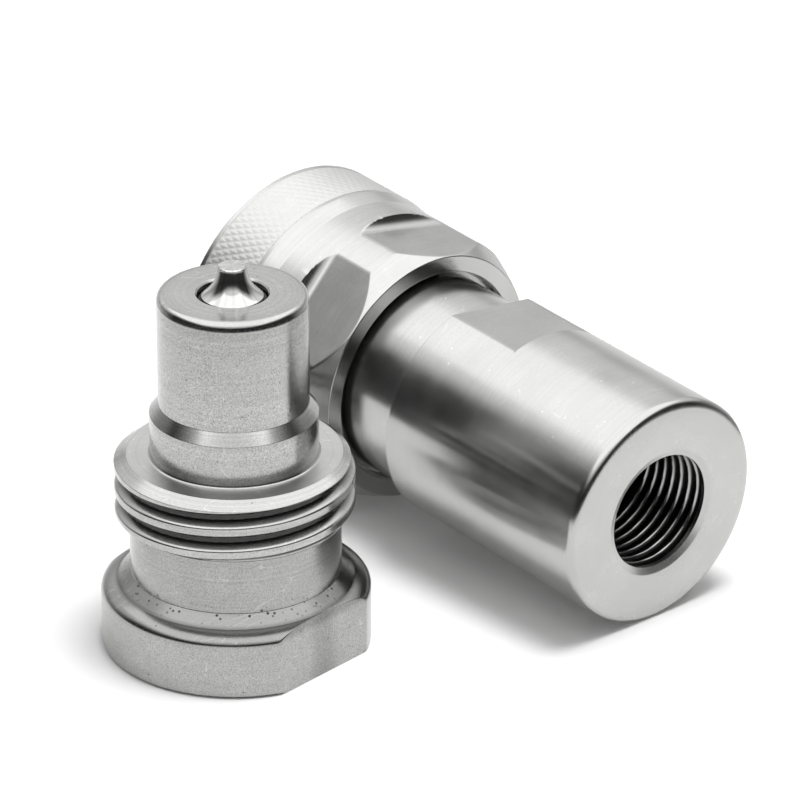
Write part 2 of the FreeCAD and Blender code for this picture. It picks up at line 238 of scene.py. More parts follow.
def coupler_matrix():
    """Where the coupler's own axis lies: its origin is the port face, its Z runs to the open end."""
    port = mounts["coupler_port"]
    along = -Vector(port["axis"]).normalized()
    across = Vector((0, 1, 0))
    up = across.cross(along)
    turn = Matrix((up, across, along)).transposed().to_4x4()
    return Matrix.Translation(Vector(port["pos_m"])) @ turn


UPRIGHT = Matrix.Identity(4)
LYING = coupler_matrix()


def own_z(place):
    """Direction of a half's own axis in the scene."""
    return place.to_3x3() @ Vector((0, 0, 1))


def arc(start, via, end):
    """Points on the circle through three (radius, height) points, without the two ends."""
    (ax, ay), (bx, by), (cx, cy) = start, via, end
    a_square, b_square, c_square = ax**2 + ay**2, bx**2 + by**2, cx**2 + cy**2
    d = 2 * (ax * (by - cy) + bx * (cy - ay) + cx * (ay - by))
    ux = (a_square * (by - cy) + b_square * (cy - ay) + c_square * (ay - by)) / d
    uy = (a_square * (cx - bx) + b_square * (ax - cx) + c_square * (bx - ax)) / d
    radius = math.hypot(ax - ux, ay - uy)
    first = math.atan2(ay - uy, ax - ux)
    sweep = math.remainder(math.atan2(cy - uy, cx - ux) - first, 2 * math.pi)
    angles = [first + sweep * k / CURVE_STEPS for k in range(1, CURVE_STEPS)]
    return [(ux + radius * math.cos(a), uy + radius * math.sin(a), 0) for a in angles]


def bend(start, control, end, t):
    """Point at a share t of the parabola that leaves start and reaches end along lines to control."""
    return (1 - t) ** 2 * start + 2 * t * (1 - t) * control + t**2 * end


def curve(start, control, end):
    """Points on that parabola, without the two ends."""
    start, control, end = np.array(start), np.array(control), np.array(end)
    points = [bend(start, control, end, k / CURVE_STEPS) for k in range(1, CURVE_STEPS)]
    return [(r, z, 0) for r, z in points]


def ring_groove(surface, groove):
    """Corners of a square groove (radius, low, high) in a cylinder, along the axis."""
    radius, low, high = groove
    return [(surface, low, 0), (radius, low, 0), (radius, high, 0), (surface, high, 0)]


def rounded(corners, closed=True):
    """Outline through (radius, height, rounding) corners, each rounded one turned into a small arc."""
    points = []
    count = len(corners)
    for index, (r, z, size) in enumerate(corners):
        here = np.array((r, z))
        is_end = not closed and index in (0, count - 1)
        if size == 0 or is_end:
            points.append(here)
            continue
        back = np.array(corners[index - 1][:2]) - here
        ahead = np.array(corners[(index + 1) % count][:2]) - here
        back_length, ahead_length = np.linalg.norm(back), np.linalg.norm(ahead)
        back, ahead = back / back_length, ahead / ahead_length
        half_turn = math.acos(max(-1.0, min(1.0, float(back @ ahead)))) / 2
        room = min(back_length, ahead_length)
        setback = min(size / math.tan(half_turn), EDGE_SHARE * room)
        margin = min(SUPPORT, SUPPORT_SHARE * room)
        first, last = here + back * setback, here + ahead * setback
        points.append(first + back * margin)
        for step in range(EDGE_STEPS + 1):
            points.append(bend(first, here, last, step / EDGE_STEPS))
        points.append(last + ahead * margin)
    return np.array(points)


def dense(points, *zones):
    """The closed outline with extra points where a zone (low z, high z, low r, high r, step) asks."""
    result = []
    for index, here in enumerate(points):
        ahead = points[(index + 1) % len(points)]
        r, z = (here + ahead) / 2
        parts = 1
        for low, high, inner, outer, step in zones:
            if low <= z <= high and inner <= r <= outer:
                parts = max(parts, math.ceil(np.linalg.norm(ahead - here) / step))
        for k in range(parts):
            result.append(here + (ahead - here) * k / parts)
    return np.array(result)


def new_piece(name, verts, faces, place):
    """Smooth object with its place baked into its mesh, from points on its own axis."""
    turn = np.array(place.to_3x3())
    moved = verts * MM @ turn.T + np.array(place.translation)
    mesh = bpy.data.meshes.new(name)
    mesh.from_pydata(moved.tolist(), [], faces)
    clean = bmesh.new()
    clean.from_mesh(mesh)
    bmesh.ops.remove_doubles(clean, verts=clean.verts, dist=1e-7)
    bmesh.ops.dissolve_degenerate(clean, edges=clean.edges, dist=1e-8)
    bmesh.ops.recalc_face_normals(clean, faces=clean.faces)
    for face in clean.faces:
        face.smooth = len(face.verts) <= 4
    clean.to_mesh(mesh)
    clean.free()
    mesh.set_sharp_from_angle(angle=math.radians(SHARP_ANGLE))
    piece = bpy.data.objects.new(name, mesh)
    bpy.context.scene.collection.objects.link(piece)
    return piece


def grid_faces(rows, columns, close_rows):
    """Quads of a grid whose columns close on themselves, and whose rows do if asked."""
    row = np.arange(rows if close_rows else rows - 1)[:, None] * columns
    above = (row + columns) % (rows * columns)
    column = np.arange(columns)[None, :]
    after = (column + 1) % columns
    corners = (row + column, row + after, above + after, above + column)
    return np.stack(np.broadcast_arrays(*corners), axis=-1).reshape(-1, 4).tolist()


def lathe(name, points, around, place, carve=None, closed=True):
    """Mesh turned about Z from an outline; carve(r, theta, z) gives the final radius."""
    theta = np.linspace(0, 2 * math.pi, around, endpoint=False)
    r = np.repeat(points[:, :1], around, axis=1)
    z = np.repeat(points[:, 1:], around, axis=1)
    angle = np.repeat(theta[None, :], len(points), axis=0)
    if carve:
        r = carve(r, angle, z)
    verts = np.stack((r * np.cos(angle), r * np.sin(angle), z), axis=-1).reshape(-1, 3)
    return new_piece(name, verts, grid_faces(len(points), around, closed), place)


def soft_min(a, b, width):
    """The smaller of two radii, rounded over a small width where they cross."""
    mix = np.clip(0.5 + 0.5 * (b - a) / width, 0, 1)
    return b + (a - b) * mix - width * mix * (1 - mix)


def flat_limit(theta, distance, heading, count):
    """Radius at which flats at a distance from the axis cut the piece."""
    least_cosine = 0.05
    spacing = 2 * math.pi / count
    offset = theta - math.radians(heading)
    offset = offset - spacing * np.round(offset / spacing)
    return distance / np.maximum(np.cos(offset), least_cosine)


def helix_offset(theta, z, start, heading, pitch):
    """Distance along the axis from the nearest turn of a right-handed helix."""
    turn = start + pitch * (theta - math.radians(heading)) / (2 * math.pi)
    along = (z - turn) / pitch
    return pitch * (along - np.round(along))


def fade(z, start, end, run):
    """One between start and end, falling to nothing over a short run at both."""
    return np.clip((z - start) / run, 0, 1) * np.clip((end - z) / run, 0, 1)


def port_thread(theta, z):
    """Radius inside a port: dished mouth, plain lead-in, then the pipe thread up to its run-out."""
    along = np.abs(helix_offset(theta, z, 0, 0, pipe_pitch)) / (pipe_pitch / 2)
    ridge = 0.5 + 0.5 * np.cos(math.pi * along)
    lead_in = np.clip((pipe_start + pipe_runout - z) / pipe_runout, 0, 1)
    run_out = np.clip((pipe_end - z) / pipe_runout, 0, 1)
    threaded = port_radius - pipe_depth * np.maximum(ridge, lead_in) * run_out
    return np.maximum(threaded, port_radius - countersink_slope * z)


def port_corners(top):
    """Inside of a port from the through bore back to its mouth."""
    return [
        (flow_radius, top, FINE_EDGE),
        (flow_radius, port_floor, 0),
        (port_radius, port_wall, 0),
        (port_radius, 0, 0),
    ]


def valve_corners(face):
    """Inside of a valve from its mouth back to the open end, down to the spigot's bore."""
    seat = face - lip
    clip_radius, clip_rear, clip_front = clip_groove
    return [
        (mouth_radius + mouth_chamfer, face, FINE_EDGE),
        (mouth_radius, face - mouth_chamfer, FINE_EDGE),
        (mouth_radius, seat, FINE_EDGE),
        (cavity_radius, seat - (cavity_radius - mouth_radius), 0),
        (cavity_radius, guide_z, 0),
        (guide_bore, guide_z, 0),
        (guide_bore, clip_front, 0),
        (clip_radius, clip_front, 0),
        (clip_radius, clip_rear, 0),
        (guide_bore, clip_rear, 0),
        (guide_bore, bore_end, 0),
    ]


def ported(r, z):
    """Whether a point of the outline lies on the wall of a port."""
    return (r == port_radius) & (z < port_wall)


def nipple_base():
    """Base with wrench flats, rounded shoulder, cone and threaded port."""
    corners = [
        (base_radius - base_chamfer, 0, FINE_EDGE),
        (base_radius, base_chamfer, FINE_EDGE),
        (base_radius, bevel_start, 0),
        *curve((base_radius, bevel_start), (base_radius, bevel_control), crease),
        (*crease, FINE_EDGE),
        (neck_radius, joint_z, 0),
        (nipple_spigot, joint_z, 0),
        *ring_groove(nipple_spigot, nipple_seal_groove),
        (nipple_spigot, spigot_top, 0),
        *port_corners(spigot_top),
    ]
    shoulder = (bevel_start, crease[1], crease[0], base_radius, SHOULDER_ROW)
    bore = (0, port_wall, port_radius, port_radius, HIDDEN_PORT_ROW)
    outline = dense(rounded(corners), shoulder, bore)

    def carve(r, theta, z):
        cut = soft_min(r, flat_limit(theta, base_flat, base_flat_heading, 2), FLAT_BLEND)
        outer = np.where((z < joint_z) & (r > nipple_spigot), cut, r)
        return np.where(ported(r, z), port_thread(theta, z), outer)

    return lathe("nipple_base", outline, AROUND_FLATS, UPRIGHT, carve)


def nipple_probe():
    """Neck, threaded flange, pilot shoulder and plain tip with the valve's bore inside."""
    bore = nipple_spigot + slide
    corners = [
        (neck_radius, joint_z, FINE_EDGE),
        (neck_radius, flange_bottom, FINE_EDGE),
        (thread_radius - thread_depth, flange_bottom, FINE_EDGE),
        (thread_radius, flange_bottom + thread_chamfer, FINE_EDGE),
        (thread_radius, flange_top, FINE_EDGE),
        (*stop_face, FINE_EDGE),
        (shoulder_radius, stop_face[1], shoulder_fillet),
        (shoulder_radius, shoulder_top, FINE_EDGE),
        (tip_radius, tip_bottom, FINE_EDGE),
        (tip_radius, tip_top, tip_round),
        *valve_corners(tip_top),
        (bore, bore_end, 0),
        (bore, joint_z, 0),
    ]
    flange = (flange_bottom, stop_face[1], stop_face[0], thread_radius, FLANGE_ROW)
    outline = dense(rounded(corners), flange)
    root = thread_radius - thread_depth
    flank = (thread_mouth - thread_root) / 2 / thread_depth

    def carve(r, theta, z):
        away = np.abs(helix_offset(theta, z, groove_start, groove_heading, thread_pitch))
        groove = np.maximum(root, root + (away - thread_root / 2) / flank)
        on_flange = (z > flange_bottom) & (z < stop_face[1]) & (r > stop_face[0])
        return np.where(on_flange, soft_min(r, groove, CREST_BLEND), r)

    return lathe("nipple_probe", outline, AROUND_PROBE, UPRIGHT, carve)


def poppet(name, face, place):
    """Valve poppet: nub, flared nose, seal groove, seating cone, head and guided stem."""
    flare = arc((nose_radius, -flare_drop), flare_middle, (nub_radius, flare_height))
    stop = guide_z + poppet_travel + stop_gap
    corners = [
        (0, stem_end, 0),
        (stem_radius, stem_end, FINE_EDGE),
        (stem_radius, stop, 0),
        (stem_stop, stop, 0),
        (stem_stop, face - head_bottom, 0),
        (head_radius, face - head_bottom, FINE_EDGE),
        (head_radius, face - head_depth, FINE_EDGE),
        (cone_radius, face - cone_depth, FINE_EDGE),
        (seal_groove, face - cone_depth, 0),
        (seal_groove, face - nose_edge, 0),
        (nose_radius, face - nose_edge, FINE_EDGE),
        (nose_radius, face - flare_drop, FINE_EDGE),
        *[(r, face + z, 0) for r, z, _ in flare],
        (nub_radius, face + flare_height, 0),
        (nub_radius, face + nub_height - nub_chamfer, FINE_EDGE),
        (nub_radius - nub_chamfer, face + nub_height, FINE_EDGE),
        (0, face + nub_height, 0),
    ]
    return lathe(name, rounded(corners, closed=False), AROUND_PLAIN, place, closed=False)


def coupler_rear():
    """Rear half of the coupler's body with its threaded port and wrench flats."""
    wall, lead = 0.02, 0.3
    bore = socket_spigot + slide
    corners = [
        (rear_radius, 0, rear_round),
        *[(rear_radius, rear_flat_start + step, 0) for step in (-lead, -wall, wall, lead)],
        (rear_radius, rear_length, FINE_EDGE),
        (bore, rear_length, 0),
        (bore, spigot_top, 0),
        *port_corners(spigot_top),
    ]
    outline = dense(rounded(corners), (0, port_wall, port_radius, port_radius, PORT_ROW))

    def carve(r, theta, z):
        cut = soft_min(r, flat_limit(theta, rear_flat, rear_flat_roll, 2), FLAT_BLEND)
        outer = np.where((z > rear_flat_start) & (r > bore), cut, r)
        return np.where(ported(r, z), port_thread(theta, z), outer)

    return lathe("coupler_rear", outline, AROUND_REAR, LYING, carve)


def coupler_front():
    """Front half of the coupler's body: collar, probe bore, seal groove and valve seat."""
    seal_radius, seal_rear, seal_front = bore_seal_groove
    corners = [
        (socket_spigot, bore_end, 0),
        *ring_groove(socket_spigot, socket_seal_groove),
        (socket_spigot, rear_length, 0),
        (front_radius, rear_length, FINE_EDGE),
        *ring_groove(front_radius, stop_groove),
        (front_radius, collar_start, 0),
        (collar_radius, collar_start, FINE_EDGE),
        (collar_radius, socket_front - collar_chamfer, FINE_EDGE),
        (collar_radius - collar_chamfer, socket_front, FINE_EDGE),
        (pilot_radius + entry_chamfer, socket_front, FINE_EDGE),
        (pilot_radius, socket_front - entry_chamfer, FINE_EDGE),
        (pilot_radius, pilot_end, FINE_EDGE),
        (probe_radius, probe_start, FINE_EDGE),
        (probe_radius, seal_front, FINE_EDGE),
        (seal_radius, seal_front, 0),
        (seal_radius, seal_rear, 0),
        (probe_radius, seal_rear, FINE_EDGE),
        (probe_radius, seat_face, 0),
        *valve_corners(seat_face),
    ]
    return lathe("coupler_front", rounded(corners), AROUND_PLAIN, LYING)


def sleeve_shell():
    """Turning sleeve: hexagon with run-outs, plain band, grip recess, bearing land and chamber."""
    grip_low = knurl_start + knurl_edge
    grip_high = knurl_end - knurl_edge
    knurl_root = knurl_radius - knurl_depth
    outside_hole = sleeve_hole + 0.2
    run_out_lead = 0.1
    corners = [
        (sleeve_hole, sleeve_rear, FINE_EDGE),
        (sleeve_rear_radius, sleeve_rear, SOFT_EDGE),
        (sleeve_band, sleeve_cone_end, FINE_EDGE),
        (sleeve_band, hex_end - run_out_lead, 0),
        (sleeve_band, hex_end + hex_fillet, 0),
        (sleeve_band, stripe_start, FINE_EDGE),
        (knurl_radius, knurl_start, FINE_EDGE),
        (knurl_radius, grip_low, FINE_EDGE),
        (knurl_root, grip_low + knurl_depth, 0),
        (knurl_root, grip_high - knurl_depth, 0),
        (knurl_radius, grip_high, FINE_EDGE),
        (knurl_radius, knurl_end, FINE_EDGE),
        (knurl_radius - sleeve_front_chamfer, sleeve_front, FINE_EDGE),
        (chamber_radius + chamber_entry, sleeve_front, FINE_EDGE),
        (chamber_radius, sleeve_front - chamber_entry, FINE_EDGE),
        (chamber_radius, sleeve_land_end, 0),
        (sleeve_land, sleeve_land_end, FINE_EDGE),
        (sleeve_land, sleeve_land_start, FINE_EDGE),
        (sleeve_hole, sleeve_land_start, 0),
    ]
    cone = (sleeve_rear, sleeve_cone_end, outside_hole, sleeve_band, CONE_ROW)
    run_out = (hex_end, hex_end + hex_fillet, sleeve_band, sleeve_band, RUN_OUT_ROW)
    plain_band = (hex_end, stripe_start, sleeve_band, sleeve_band, PLAIN_BAND_ROW)
    outline = dense(rounded(corners), cone, run_out, plain_band)

    def carve(r, theta, z):
        run = np.clip(z - hex_end, 0, hex_fillet)
        lift = hex_fillet - np.sqrt(np.maximum(hex_fillet**2 - run**2, 0))
        cut = soft_min(r, flat_limit(theta, hex_flat + lift, hex_roll, 6), FLAT_BLEND)
        return np.where((z < hex_end + hex_fillet) & (r > outside_hole), cut, r)

    return lathe("sleeve_shell", outline, AROUND_FLATS, LYING, carve)


def sleeve_knurl():
    """Diamond knurl that fills the grip's shallow recess."""
    low = knurl_start + knurl_edge + grip_end_gap
    high = knurl_end - knurl_edge - grip_end_gap
    root = knurl_radius - grip_depth
    inner = knurl_radius - knurl_depth - grip_backing
    corners = np.array([(inner, low), (root, low), (root, high), (inner, high)])
    outline = dense(corners, (low, high, root, root, grip_pitch / KNURL_ROWS_PER_PITCH))
    slant = math.radians(grip_angle)
    teeth = round(2 * math.pi * knurl_radius * math.cos(slant) / grip_pitch)

    def carve(r, theta, z):
        circle = teeth * theta / (2 * math.pi)
        lean = z * math.sin(slant) / grip_pitch
        grooves = []
        for side, share in ((1, 1.0), (-1, grip_faint)):
            wave = circle + side * lean
            across = np.minimum(2 * np.abs(wave - np.round(wave)) / grip_groove, 1)
            grooves.append(share * (1 - across))
        lift = grip_depth * (1 - np.maximum(*grooves)) * fade(z, low, high, grip_runout)
        return np.where(r == root, r + lift, r)

    return lathe("sleeve_knurl", outline, AROUND_KNURL, LYING, carve)


def sleeve_thread():
    """Internal coupling thread in the sleeve's mouth."""
    inner, backing = chamber_radius, chamber_radius + inner_thread_backing
    low, high = inner_thread_start, inner_thread_end
    corners = np.array([(inner, high), (inner, low), (backing, low), (backing, high)])
    outline = dense(corners, (low, high, inner, inner, INNER_THREAD_ROW))
    flank = (thread_mouth - thread_root) / 2 / thread_depth

    def carve(r, theta, z):
        away = np.abs(helix_offset(theta, z, low, 0, thread_pitch))
        crest = soft_min((thread_mouth / 2 - away) / flank, inner_thread_depth, CREST_BLEND)
        ridge = np.maximum(-soft_min(-crest, 0, CREST_BLEND), 0)
        return np.where(r == backing, r, r - ridge * fade(z, low, high, inner_thread_runout))

    return lathe("sleeve_thread", outline, AROUND_INNER_THREAD, LYING, carve)


def spring(name, face, turns, place):
    """Round-wire compression spring between the poppet's head and the guide."""
    top = face - head_bottom - spring_gap - spring_wire
    bottom = guide_z + spring_gap + spring_wire
    steps_per_turn = 48
    around, along = 12, steps_per_turn * turns + 1
    angle = np.linspace(0, 2 * math.pi * turns, along)[:, None]
    section = np.linspace(0, 2 * math.pi, around, endpoint=False)[None, :]
    out = spring_radius + spring_wire * np.cos(section)
    height = bottom + (top - bottom) * angle / angle[-1] + spring_wire * np.sin(section)
    verts = np.stack((out * np.cos(angle), out * np.sin(angle), height), axis=-1).reshape(-1, 3)
    faces = grid_faces(along, around, False)
    faces.append(list(range(around)))
    faces.append(list(range((along - 1) * around, along * around)))
    return new_piece(name, verts, faces, place)


def add(tree, kind, inputs=None, **settings):
    """New shader node; an input given as a socket is linked, any other is set."""
    made = tree.nodes.new(kind)
    for key, value in settings.items():
        setattr(made, key, value)
    for key, value in (inputs or {}).items():
        if isinstance(value, bpy.types.NodeSocket):
            tree.links.new(value, made.inputs[key])
        else:
            made.inputs[key].default_value = value
    return made


def maths(tree, operation, a, b=0.0, c=0.0):
    """Output of a Math node."""
    return add(tree, "ShaderNodeMath", {0: a, 1: b, 2: c}, operation=operation).outputs[0]


def product(tree, *factors):
    """Product of several values."""
    total = factors[0]
    for factor in factors[1:]:
        total = maths(tree, "MULTIPLY", total, factor)
    return total


def distance(tree, value, middle):
    """How far a value lies from a middle, on either side."""
    return maths(tree, "ABSOLUTE", maths(tree, "SUBTRACT", value, middle))


def vector_maths(tree, operation, inputs):
    """Outputs of a Vector Math node."""
    return add(tree, "ShaderNodeVectorMath", inputs, operation=operation).outputs


def band(tree, value, low, high, to_low=0.0, to_high=1.0):
    """Value mapped from one range to another, held at its ends."""
    inputs = {"Value": value, "From Min": low, "From Max": high, "To Min": to_low, "To Max": to_high}
    return add(tree, "ShaderNodeMapRange", inputs).outputs["Result"]


def noise(tree, vector, scale, detail=2.0, rough=0.5):
    """Grey value of a Noise texture."""
    inputs = {"Vector": vector, "Scale": scale, "Detail": detail, "Roughness": rough}
    return add(tree, "ShaderNodeTexNoise", inputs).outputs["Fac"]


def cell_distance(tree, vector, scale):
    """Distance from the nearest point of a Voronoi texture."""
    inputs = {"Vector": vector, "Scale": scale}
    return add(tree, "ShaderNodeTexVoronoi", inputs).outputs["Distance"]


def centred(tree, value, amount):
    """A noise value moved to vary about zero by an amount."""
    return maths(tree, "MULTIPLY_ADD", value, 2 * amount, -amount)


def new_material(name, place):
    """Empty node material, its Principled shader, and the place on the piece's own axis."""
    material = bpy.data.materials.new(name)
    material.use_nodes = True
    tree = material.node_tree
    shader = tree.nodes["Principled BSDF"]
    coords = add(tree, "ShaderNodeTexCoord").outputs["Object"]
    scaled = vector_maths(tree, "SCALE", {0: coords, "Scale": 1 / MM})[0]
    inputs = {"Vector": scaled, "Location": place.translation / MM, "Rotation": place.to_euler()}
    own_axis = add(tree, "ShaderNodeMapping", inputs, vector_type="TEXTURE").outputs[0]
    return material, tree, shader, own_axis


def tinted(tree, shader, colour, level):
    """Sets a colour, made lighter or darker by a level."""
    tint = vector_maths(tree, "SCALE", {0: colour, "Scale": level})[0]
    tree.links.new(tint, shader.inputs["Base Color"])


def relief(tree, shader, height, strength=0.2):
    """Sets a faint relief in the surface."""
    depth = 0.02 * MM
    inputs = {"Strength": strength, "Distance": depth, "Height": height}
    tree.links.new(add(tree, "ShaderNodeBump", inputs).outputs[0], shader.inputs["Normal"])


def scratches(tree, place, turn, spacing):
    """Mask of fine straight scratches that come and go."""
    stretch, width = 70.0, 0.02
    patch_scale, patch_from, patch_to = 0.25, 0.47, 0.57
    inputs = {"Vector": place, "Rotation": turn, "Scale": (stretch, 1.0, 1.0)}
    stretched = add(tree, "ShaderNodeMapping", inputs, vector_type="TEXTURE").outputs[0]
    line = maths(tree, "ABSOLUTE", centred(tree, noise(tree, stretched, spacing, 0.0), 1.0))
    thin = band(tree, line, 0.0, width, 1.0, 0.0)
    return product(tree, thin, band(tree, noise(tree, place, patch_scale), patch_from, patch_to))


def pits(tree, place):
    """Mask of small round specks, on half of the surface."""
    spacing_scale, size = 0.5, 0.05
    patch_scale, patch_from, patch_to = 0.35, 0.5, 0.54
    dot = band(tree, cell_distance(tree, place, spacing_scale), size, 2 * size, 1.0, 0.0)
    return product(tree, dot, band(tree, noise(tree, place, patch_scale), patch_from, patch_to))


# A point of a piece as its materials see it, on the piece's own axis
Spot = namedtuple("Spot", "place radius z")


def flange_groove_shade(tree, spot):
    """Mask of painted shade in the flange thread's grooves, full near the root and gone at the crest."""
    root_reach, crest_gap = 0.2, 0.15
    bottom_gap, bottom_fade, top_gap, top_fade = 0.2, 0.5, 0.05, 0.2
    root = thread_radius - thread_depth
    deep = band(tree, spot.radius, root + root_reach, thread_radius - crest_gap, 1.0, 0.0)
    above = band(tree, spot.z, flange_bottom + bottom_gap, flange_bottom + bottom_fade)
    below = band(tree, spot.z, flange_top - top_fade, flange_top - top_gap, 1.0, 0.0)
    return product(tree, deep, above, below)


def crease_shade(tree, spot):
    """Mask of painted shade along the crease round the base."""
    reach, strength = 0.5, 0.5
    return band(tree, distance(tree, spot.radius, crease[0]), 0.0, reach, strength, 0.0)


def cone_shade(tree, spot):
    """Mask of painted shade on the base's shoulder and cone."""
    below, above, strength = 0.3, 0.9, 0.33
    return band(tree, spot.z, bevel_start - below, bevel_start + above, 0.0, strength)


def neck_darkening(tree, spot):
    """Mask that darkens the neck, fading out just below the flange."""
    run, strength = 0.6, 0.22
    return band(tree, spot.z, flange_bottom - run, flange_bottom, strength, 0.0)


def joint_dirt(tree, spot):
    """Mask of the black specks caught where the nipple's body meets its base."""
    spacing_scale, core, rim = 0.9, 0.14, 0.24
    near, far = 0.3, 1.6
    dots = band(tree, cell_distance(tree, spot.place, spacing_scale), core, rim, 1.0, 0.0)
    return product(tree, dots, band(tree, distance(tree, spot.z, joint_z), near, far, 1.0, 0.0))


def port_shade(tree, spot):
    """Mask of painted shade inside a port, darkest in its thread's grooves."""
    margin, mouth_fade = 0.1, 0.5
    crest_margin, crest_shade_level = 0.08, 0.1
    groove_reach, groove_shade_level = 0.45, 0.9
    crest = port_radius - pipe_depth
    inside = maths(tree, "LESS_THAN", spot.radius, port_radius + margin)
    deep = band(tree, spot.radius, crest + crest_margin, crest + groove_reach, crest_shade_level, groove_shade_level)
    back = band(tree, spot.z, pipe_start, pipe_start + mouth_fade)
    return product(tree, inside, deep, back)


def ends_and_walls(tree, frame_place):
    """Masks of the ends that were faced on the lathe, square to the axis, and of the walls along it."""
    normal = add(tree, "ShaderNodeNewGeometry").outputs["Normal"]
    along = vector_maths(tree, "DOT_PRODUCT", {0: normal, 1: own_z(frame_place)})["Value"]
    facing = maths(tree, "ABSOLUTE", along)
    end_from, end_to = 0.92, 0.98
    wall_from, wall_to, least_wall = 0.15, 0.6, 0.25
    ends = band(tree, facing, end_from, end_to)
    walls = band(tree, facing, wall_from, wall_to, 1.0, least_wall)
    return ends, walls


def lathe_finish(tree, shader, frame_place, rough):
    """Roughness, and gloss that is drawn out across the lathe's marks."""
    point = add(tree, "ShaderNodeNewGeometry").outputs["Position"]
    arm = vector_maths(tree, "SUBTRACT", {0: point, 1: frame_place.translation})[0]
    marks = vector_maths(tree, "CROSS_PRODUCT", {0: own_z(frame_place), 1: arm})[0]
    tree.links.new(marks, shader.inputs["Tangent"])
    tree.links.new(rough, shader.inputs["Roughness"])
    shader.inputs["Anisotropic"].default_value = 0.5
    shader.inputs["Anisotropic Rotation"].default_value = 0.25


# Bare steel: noise scales are per millimetre, changes are shares of the grey or of the roughness
TURNING = {"scale": 2.2, "detail": 4.0, "rough": 0.7}
SPECKLE = {"scale": 4.8, "detail": 3.0, "rough": 0.8}
STREAK = {"scale": 4.0, "detail": 3.0}
BROAD = {"scale": 0.12}
SCRATCH_SETS = (((0.0, 0.15, 0.8), 0.7), ((0.0, -0.5, 1.1), 0.5))
SPECKLE_CHANGE = 2.0
TURNING_CHANGE = 0.3
BROAD_CHANGE = 0.12
SCRATCH_CHANGE = 0.4
PAINTED_END_LIGHT_CHANGE = 1.3
DIRT_AND_SHADE_CHANGE = -0.88
SPECKLE_ROUGHNESS = 0.2
BROAD_ROUGHNESS = 0.08
LOW_GRAIN = 0.65
WARM_BLUE = 0.985


def steel(name, frame_place, grey, rough, dull_and_painted_light=(0.0, 0.0), grain=0.15, lines=0.3,
          scratched=0.1, specks=0.0, streaks=0.0, dirt_and_shade=()):
    """Bare machined steel.

    dull_and_painted_light roughens the faced ends below the pilot shoulder and at the tip and lifts or
    lowers their grey as painted light and shade, grain is a sanded speckle on the walls, lines are the
    lathe's marks, specks and streaks lift or lower the grey, and the dirt_and_shade masks darken it in
    places, mostly as painted shade, with real dirt specks at the joint.
    """
    material, tree, shader, place = new_material(name, frame_place)
    x, y, z = add(tree, "ShaderNodeSeparateXYZ", {0: place}).outputs
    across = add(tree, "ShaderNodeCombineXYZ", {0: x, 1: y}).outputs[0]
    radius = vector_maths(tree, "LENGTH", {0: across})["Value"]
    heading = vector_maths(tree, "NORMALIZE", {0: across})[0]
    profile = add(tree, "ShaderNodeCombineXYZ", {0: radius, 1: z}).outputs[0]

    turning = noise(tree, profile, **TURNING)
    broad = noise(tree, place, **BROAD)
    streak = noise(tree, heading, **STREAK)
    ends, walls = ends_and_walls(tree, frame_place)
    dulled_and_painted_light = product(tree, ends, band(tree, z, shoulder_top, tip_bottom, *dull_and_painted_light))
    sanded = band(tree, z, flange_top, shoulder_top, LOW_GRAIN, 1.0)
    speckle = centred(tree, noise(tree, place, **SPECKLE), grain / 2)
    speckle = product(tree, speckle, walls, sanded)
    hair = maths(tree, "MAXIMUM", *[scratches(tree, place, *row) for row in SCRATCH_SETS])

    level = maths(tree, "MULTIPLY_ADD", speckle, SPECKLE_CHANGE, 1.0)
    level = maths(tree, "ADD", level, centred(tree, turning, TURNING_CHANGE * lines))
    level = maths(tree, "ADD", level, centred(tree, broad, BROAD_CHANGE))
    level = maths(tree, "MULTIPLY_ADD", hair, SCRATCH_CHANGE * scratched, level)
    level = maths(tree, "ADD", level, centred(tree, streak, streaks))
    level = maths(tree, "MULTIPLY_ADD", pits(tree, place), specks, level)
    # Painted light and shade: the faced ends' grey is lifted or lowered to stand in for the light they
    # catch.
    level = maths(tree, "MULTIPLY_ADD", dulled_and_painted_light, PAINTED_END_LIGHT_CHANGE, level)
    # Painted shade darkens the thread grooves, the base's crease and cone and the ports; the neck is
    # darkened too, and the joint's specks are real dirt.
    for mask in dirt_and_shade:
        cover = mask(tree, Spot(place, radius, z))
        level = product(tree, level, maths(tree, "MULTIPLY_ADD", cover, DIRT_AND_SHADE_CHANGE, 1.0))
    tinted(tree, shader, (grey, grey, WARM_BLUE * grey), level)
    shader.inputs["Metallic"].default_value = 1.0

    patchy = centred(tree, broad, BROAD_ROUGHNESS)
    uneven = maths(tree, "MULTIPLY_ADD", speckle, SPECKLE_ROUGHNESS, patchy)
    roughness = maths(tree, "ADD", uneven, maths(tree, "ADD", dulled_and_painted_light, rough))
    lathe_finish(tree, shader, frame_place, roughness)
    relief(tree, shader, height=maths(tree, "MULTIPLY_ADD", turning, lines, speckle))
    return material


def plain(name, colour, rough, variation):
    """Rubber or plastic with a slight mottle and a fine moulded grain."""
    low, high, rough_change = 0.3, 0.7, 0.06
    mottle_scale, mottle_detail, grain_scale = 1.0, 3.0, 6.0
    material, tree, shader, place = new_material(name, UPRIGHT)
    mottle = noise(tree, place, mottle_scale, mottle_detail)
    tinted(tree, shader, colour, band(tree, mottle, low, high, 1 - variation, 1 + variation))
    roughness = band(tree, mottle, low, high, rough - rough_change, rough + rough_change)
    tree.links.new(roughness, shader.inputs["Roughness"])
    relief(tree, shader, height=noise(tree, place, grain_scale), strength=0.3)
    return material


def paint(piece, material):
    """Gives every face of a piece one material."""
    piece.data.materials.clear()
    piece.data.materials.append(material)


